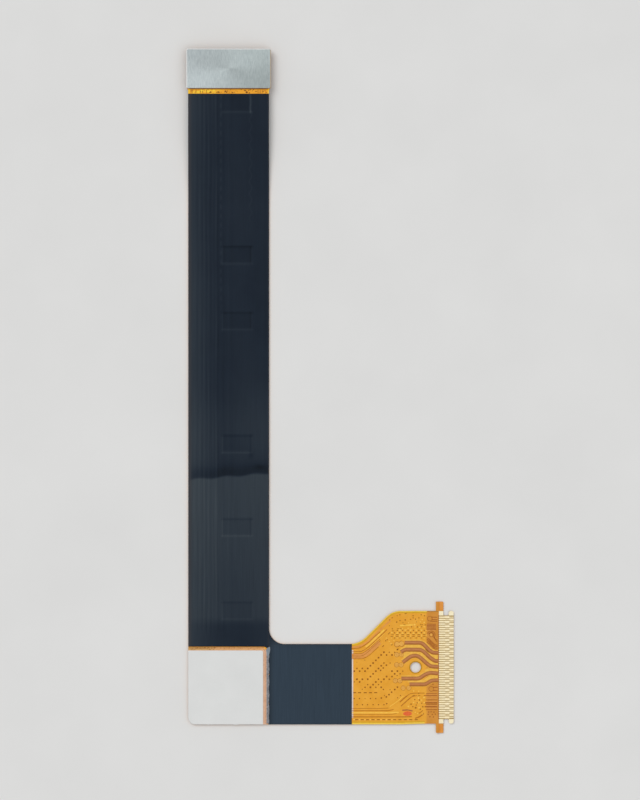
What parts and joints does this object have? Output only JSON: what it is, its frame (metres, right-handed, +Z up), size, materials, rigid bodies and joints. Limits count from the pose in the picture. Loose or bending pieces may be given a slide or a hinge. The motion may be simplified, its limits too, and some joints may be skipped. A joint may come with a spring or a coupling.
{
  "type": "flexible flat cable",
  "caption": "Amber flexible circuit cable with a dark shielded strip, a fine-pitch contact tongue, a white lined pad and a steel-backed plug.",
  "frame": {"origin": "axis of the locating hole, at the underside of the laminate", "axes": "+X towards the contact tip, +Y along the long strip towards the plug, +Z up from the contact side"},
  "size_m": [0.0352, 0.0902, 0.0012],
  "materials": {
    "base_polyimide": "smooth amber film",
    "coverlay": "clear amber film, slightly wavy",
    "coverlay_back": "clear amber film, slightly wavy",
    "copper": "rolled copper",
    "gold_plate": "pale gold plating",
    "shield_film": "dark blue-grey film, fine grain and press marks",
    "shield_film_back": "dark film, fine grain",
    "edge_seal": "thin line of set resin",
    "stiffener_polyimide": "thick amber film",
    "bond_film": "cured adhesive",
    "tape_adhesive": "tacky tan adhesive",
    "liner": "smooth white liner",
    "steel": "brushed along the strip",
    "plug_plastic": "moulded",
    "plug_gold": "gold plated spring metal",
    "tinned": "tinned"
  },
  "bodies": {
    "root": {"base_film": "base_polyimide", "front_coverlay": "coverlay", "back_coverlay": "coverlay_back", "ground_plane": "copper", "front_ground": "copper", "ground_hatch": "copper", "signal_tracks": "copper", "power_tracks": "copper", "return_tracks": "copper", "tongue_tracks": "copper", "via_pads": "copper", "contact_fingers": "gold_plate", "end_pads": "gold_plate", "front_shield_film": "shield_film", "back_shield_film": "shield_film_back", "film_edge_seal": "edge_seal", "contact_stiffener": "stiffener_polyimide", "stiffener_adhesive": "bond_film", "adhesive_pad": "tape_adhesive", "release_liner": "liner", "head_plate": "steel", "plate_adhesive": "bond_film", "plug_housing": "plug_plastic", "plug_contacts": "plug_gold", "plug_anchors": "tinned", "plug_lands": "gold_plate", "solder_fillets": "tinned"}
  },
  "joints": []
}
